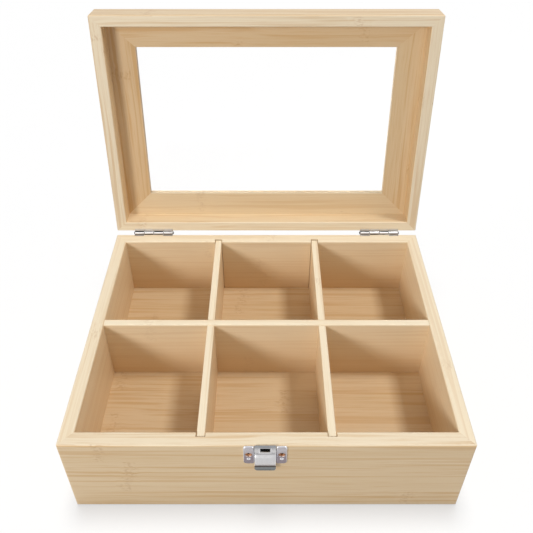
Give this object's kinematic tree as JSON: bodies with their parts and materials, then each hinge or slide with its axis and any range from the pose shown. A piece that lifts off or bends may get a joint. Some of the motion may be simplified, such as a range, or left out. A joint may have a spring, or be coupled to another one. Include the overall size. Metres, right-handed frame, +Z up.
{
  "type": "tea bag organizer box",
  "caption": "Bamboo box with divided compartments for tea bags under a hinged lid with a clear window, held shut by a small sprung metal latch.",
  "frame": {"origin": "centre of the base, in the plane of the undersides of the four walls", "axes": "+Z up; +X to the right seen from the front, along the hinges; +Y towards the back, where the hinges are; the latch faces -Y"},
  "size_m": [0.29, 0.2649, 0.2956],
  "materials": {
    "bamboo_body": "light natural bamboo, thin satin lacquer, straight fine grain",
    "bamboo_divider": "light natural bamboo board, fine sanded, satin",
    "bamboo_window_frame": "light natural bamboo, fine sanded, satin",
    "clear_pane": "clear polished acrylic sheet",
    "hinge_nickel": "nickel plated steel, satin bright",
    "latch_nickel": "nickel plated pressed steel, semi bright",
    "copper_screw": "copper coloured plated steel screw head",
    "plain_steel": "plain bright steel wire and pin"
  },
  "bodies": {
    "box": {"front_wall": "bamboo_body", "back_wall": "bamboo_body", "left_wall": "bamboo_body", "right_wall": "bamboo_body", "bottom_panel": "bamboo_body", "cross_divider": "bamboo_divider", "left_divider": "bamboo_divider", "right_divider": "bamboo_divider", "left_hinge_box_leaf": "hinge_nickel", "left_hinge_pin": "plain_steel", "right_hinge_box_leaf": "hinge_nickel", "right_hinge_pin": "plain_steel", "hinge_box_screws": "hinge_nickel", "latch_plate": "latch_nickel", "latch_pin": "plain_steel", "latch_spring": "plain_steel", "latch_screws": "copper_screw"},
    "lid": {"lid_front_rail": "bamboo_body", "lid_back_rail": "bamboo_body", "lid_left_rail": "bamboo_body", "lid_right_rail": "bamboo_body", "window_front_rail": "bamboo_window_frame", "window_back_rail": "bamboo_window_frame", "window_left_stile": "bamboo_window_frame", "window_right_stile": "bamboo_window_frame", "window_pane": "clear_pane", "left_hinge_lid_leaf": "hinge_nickel", "right_hinge_lid_leaf": "hinge_nickel", "hinge_lid_screws": "hinge_nickel"},
    "latch_lever": {"latch_lever": "latch_nickel"}
  },
  "joints": [
    {"name": "lid_hinge", "type": "hinge", "parent": "box", "child": "lid", "pos_m": [0, 0.1082, 0.08315], "axis": [1, 0, 0], "range_deg": [0, 97]},
    {"name": "latch_pivot", "type": "hinge", "parent": "box", "child": "latch_lever", "pos_m": [-0.0009, -0.105, 0.073], "axis": [1, 0, 0], "range_deg": [0, 10], "stiffness_Nm_per_rad": 0.05, "springref_deg": -20.05, "deforming": ["latch_spring"]}
  ]
}
